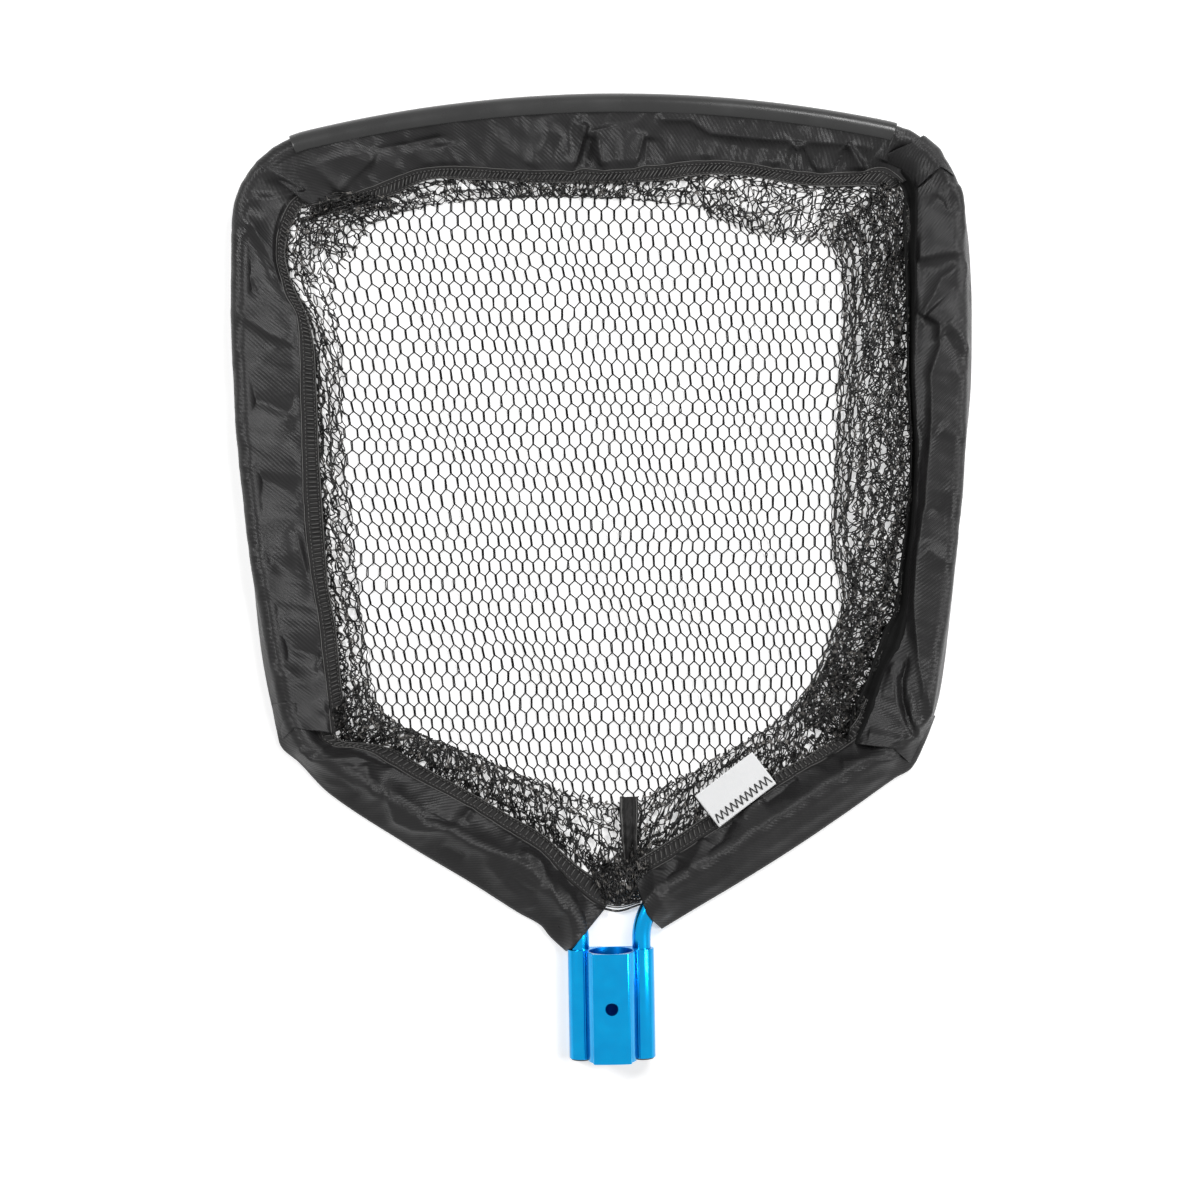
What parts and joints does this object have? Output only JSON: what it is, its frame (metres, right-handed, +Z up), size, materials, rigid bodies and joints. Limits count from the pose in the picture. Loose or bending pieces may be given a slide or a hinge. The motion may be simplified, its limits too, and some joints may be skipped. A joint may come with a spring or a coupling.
{
  "type": "leaf skimmer net",
  "caption": "Flat head of a pond or pool leaf net: bent tube hoop in an extruded pole socket, cloth sleeve, edge guard and knitted mesh bag.",
  "frame": {"origin": "centre of the pole socket's mouth, on the axis of its bore", "axes": "+Y along the pole's line from the socket to the front edge, +Z up out of the bag's mouth with the head lying flat; the pole leaves toward -Y"},
  "size_m": [0.4802, 0.6224, 0.0324],
  "materials": {
    "anodised_blue": "satin anodised, cyan blue",
    "cap_rubber": "matte black",
    "rivet_metal": "plain",
    "guard_plastic": "satin black, extruded",
    "sleeve_cloth": "charcoal woven polyester with a soft sheen",
    "binding_cloth": "overlocked and double stitched, charcoal",
    "net_yarn": "knitted black polyester yarn",
    "label_cloth": "white woven ribbon, blank"
  },
  "bodies": {
    "root": {"pole_socket": "anodised_blue", "frame_hoop": "anodised_blue", "tube_end_caps": "cap_rubber", "leg_rivets": "rivet_metal", "edge_guard": "guard_plastic", "sleeve_front": "sleeve_cloth", "sleeve_left": "sleeve_cloth", "sleeve_right": "sleeve_cloth", "sleeve_lower_left": "sleeve_cloth", "sleeve_lower_right": "sleeve_cloth", "binding_front": "binding_cloth", "binding_left": "binding_cloth", "binding_right": "binding_cloth", "binding_lower_left": "binding_cloth", "binding_lower_right": "binding_cloth", "net_base": "net_yarn", "net_wall_front": "net_yarn", "net_wall_left": "net_yarn", "net_wall_right": "net_yarn", "net_wall_lower_left": "net_yarn", "net_wall_lower_right": "net_yarn", "seam_tape": "binding_cloth", "woven_label": "label_cloth"}
  },
  "joints": []
}
